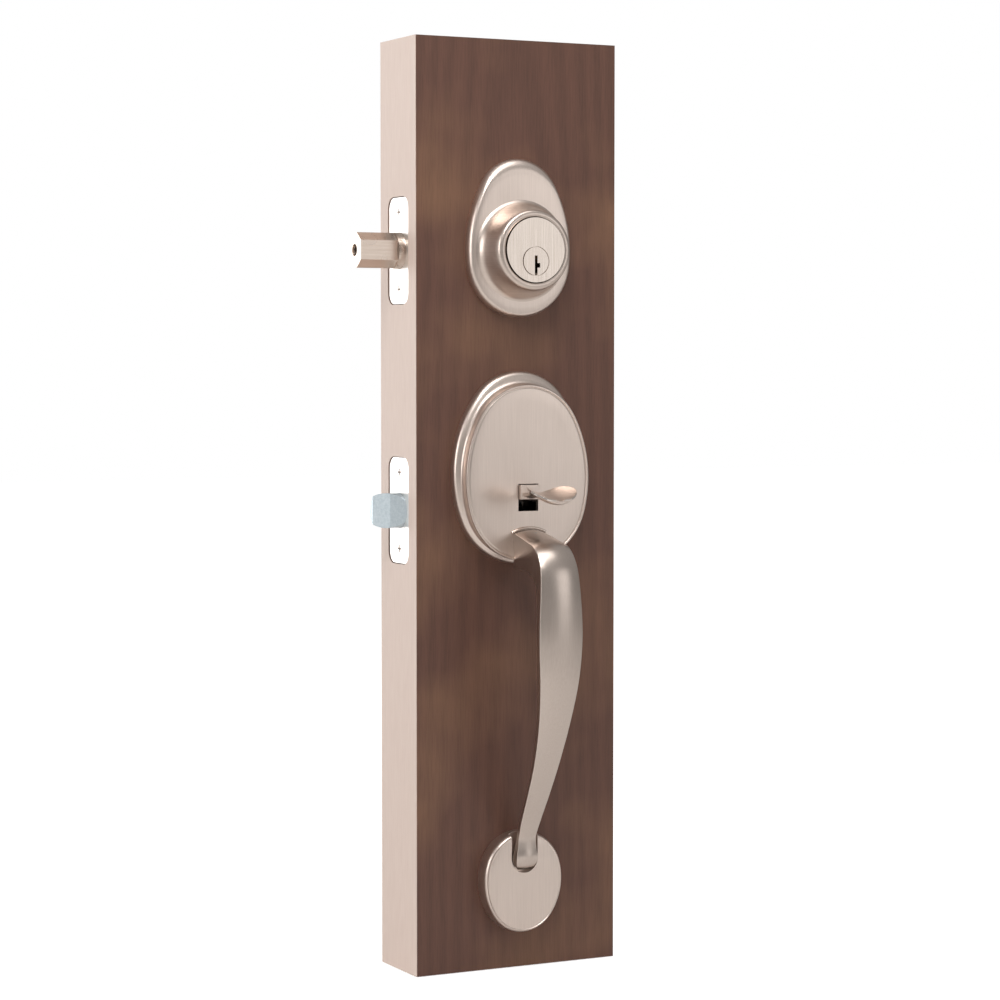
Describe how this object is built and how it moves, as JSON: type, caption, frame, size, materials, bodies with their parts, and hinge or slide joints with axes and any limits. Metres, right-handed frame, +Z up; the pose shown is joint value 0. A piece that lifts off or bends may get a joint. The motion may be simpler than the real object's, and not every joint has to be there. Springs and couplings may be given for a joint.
{
  "type": "entry lock set",
  "caption": "Deadbolt with egg-shaped rose above a thumb latch with a curved pull grip, fitted to a wooden door sample with knob and thumbturn inside.",
  "frame": {"origin": "on the door sample's bottom face, under the lock axes and at the middle of its thickness", "axes": "+Z up along the door sample; -Y out of the door's outside face; -X out of the lock edge"},
  "size_m": [0.146, 0.1612, 0.503],
  "materials": {
    "satin_nickel": "satin brushed nickel plating",
    "stained_wood": "walnut stain, matt lacquer",
    "nickel_on_brass": "nickel plated brass, satin",
    "brass": "drawn, turned",
    "spring_steel": "bright drawn wire",
    "bright_nickel": "bright nickel plating",
    "blue_zinc": "blue-white zinc plating",
    "dark_steel": "hardened, black oxide",
    "zinc_plated_steel": "zinc plating"
  },
  "bodies": {
    "root": {"cylinder_body": "nickel_on_brass", "cylinder_collar": "satin_nickel", "cylinder_snap_ring": "spring_steel", "deadbolt_backplate": "zinc_plated_steel", "deadbolt_case": "zinc_plated_steel", "deadbolt_faceplate": "bright_nickel", "deadbolt_plate_screws": "bright_nickel", "deadbolt_rose": "satin_nickel", "deadbolt_screws": "zinc_plated_steel", "door_block": "stained_wood", "driver_pins": "brass", "foot_bolt": "zinc_plated_steel", "foot_cover": "satin_nickel", "grip": "satin_nickel", "grip_screws": "zinc_plated_steel", "handle_rose": "satin_nickel", "handle_screws": "zinc_plated_steel", "knob_plate": "zinc_plated_steel", "knob_rose": "satin_nickel", "knob_spring": "spring_steel", "latch_backplate": "zinc_plated_steel", "latch_case": "zinc_plated_steel", "latch_faceplate": "bright_nickel", "latch_plate_screws": "bright_nickel", "latch_spring": "spring_steel", "lower_plate": "satin_nickel", "pin_springs": "spring_steel", "spring_cover": "brass", "thumbpiece_pin": "zinc_plated_steel", "thumbpiece_spring": "spring_steel", "thumbturn_plate": "zinc_plated_steel", "thumbturn_rose": "satin_nickel"},
    "deadbolt": {"deadbolt_bolt": "satin_nickel", "hardened_pin": "dark_steel"},
    "turn": {"thumbturn": "satin_nickel", "thumbturn_clip": "spring_steel", "deadbolt_tailpiece": "zinc_plated_steel", "deadbolt_crank": "zinc_plated_steel"},
    "plug": {"cylinder_plug": "nickel_on_brass", "plug_clip": "brass", "key_pins": "brass"},
    "latch": {"latch_bolt": "blue_zinc", "latch_tail": "zinc_plated_steel"},
    "knob": {"inside_knob": "satin_nickel", "knob_clip": "spring_steel", "spindle": "zinc_plated_steel", "latch_hub": "zinc_plated_steel", "lift_lever": "zinc_plated_steel"},
    "thumb": {"thumbpiece": "satin_nickel"}
  },
  "joints": [
    {"name": "thumbturn_turn", "type": "hinge", "parent": "root", "child": "turn", "pos_m": [0, 0.02223, 0.3837], "axis": [0, 1, 0], "range_deg": [0, 90]},
    {"name": "plug_turn", "type": "hinge", "parent": "root", "child": "plug", "pos_m": [0, -0.02223, 0.3837], "axis": [0, 1, 0], "range_deg": [0, 90]},
    {"name": "deadbolt_throw", "type": "slide", "parent": "root", "child": "deadbolt", "axis": [1, 0, 0], "range_m": [0, 0.0254]},
    {"name": "inside_knob_turn", "type": "hinge", "parent": "root", "child": "knob", "pos_m": [0, 0.02223, 0.25], "axis": [0, -1, 0], "range_deg": [0, 45], "stiffness_Nm_per_rad": 0.6},
    {"name": "latch_retract", "type": "slide", "parent": "root", "child": "latch", "axis": [1, 0, 0], "range_m": [0, 0.0127], "deforming": ["latch_spring"]},
    {"name": "thumbpiece_press", "type": "hinge", "parent": "root", "child": "thumb", "pos_m": [0, -0.02923, 0.258], "axis": [1, 0, 0], "range_deg": [0, 20]}
  ],
  "couplings": [
    {"joint": "plug_turn", "follows": "thumbturn_turn", "ratio": 1},
    {"joint": "deadbolt_throw", "follows": "thumbturn_turn", "m_per_rad": 0.01617},
    {"joint": "latch_retract", "follows": "inside_knob_turn", "m_per_rad": 0.01617},
    {"joint": "thumbpiece_press", "follows": "inside_knob_turn", "ratio": 0.44444}
  ]
}
